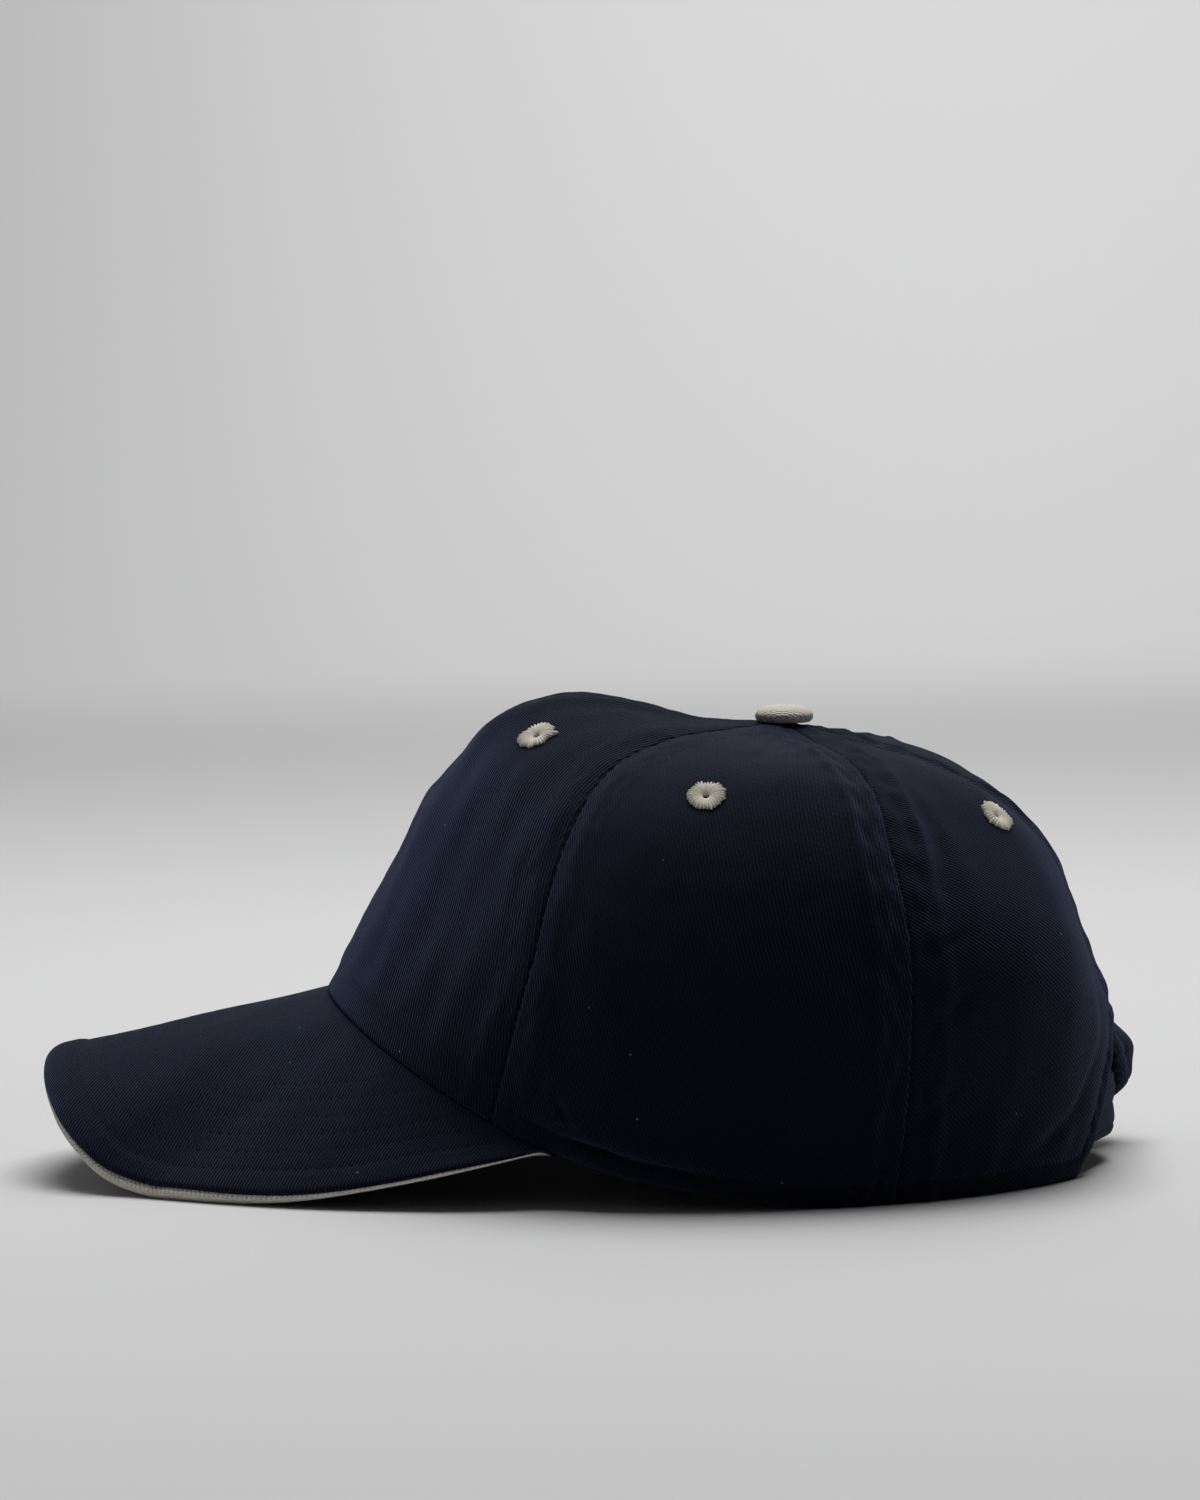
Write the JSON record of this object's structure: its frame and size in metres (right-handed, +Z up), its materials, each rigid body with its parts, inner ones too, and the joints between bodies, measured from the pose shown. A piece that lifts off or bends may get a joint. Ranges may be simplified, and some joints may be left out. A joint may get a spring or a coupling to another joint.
{
  "type": "baseball cap",
  "caption": "Soft panelled cloth baseball cap with a curved edged peak, covered button, stitched eyelets and an arch with straps at the back.",
  "frame": {"origin": "on the surface the cap lies on, under the middle of the whole cap", "axes": "-Y the way the wearer faces, towards the peak; +X the wearer's left; +Z up"},
  "size_m": [0.1695, 0.2728, 0.1176],
  "materials": {
    "navy_twill": "washed cotton twill, dark navy, matt",
    "cream_twill": "cream cotton twill, matt",
    "cream_thread": "cream embroidery thread, slight sheen",
    "inner_band": "plain woven cotton band, dark navy"
  },
  "bodies": {
    "root": {"panel_front_left": "navy_twill", "panel_front_right": "navy_twill", "panel_side_left": "navy_twill", "panel_side_right": "navy_twill", "panel_back_left": "navy_twill", "panel_back_right": "navy_twill", "eyelet_front_left": "cream_thread", "eyelet_front_right": "cream_thread", "eyelet_side_left": "cream_thread", "eyelet_side_right": "cream_thread", "eyelet_back_left": "cream_thread", "eyelet_back_right": "cream_thread", "top_button": "cream_twill", "sweatband": "inner_band", "strap_left": "navy_twill", "strap_right": "navy_twill", "peak_top_cover": "navy_twill", "peak_edging": "cream_twill", "peak_under_cover": "navy_twill"}
  },
  "joints": []
}
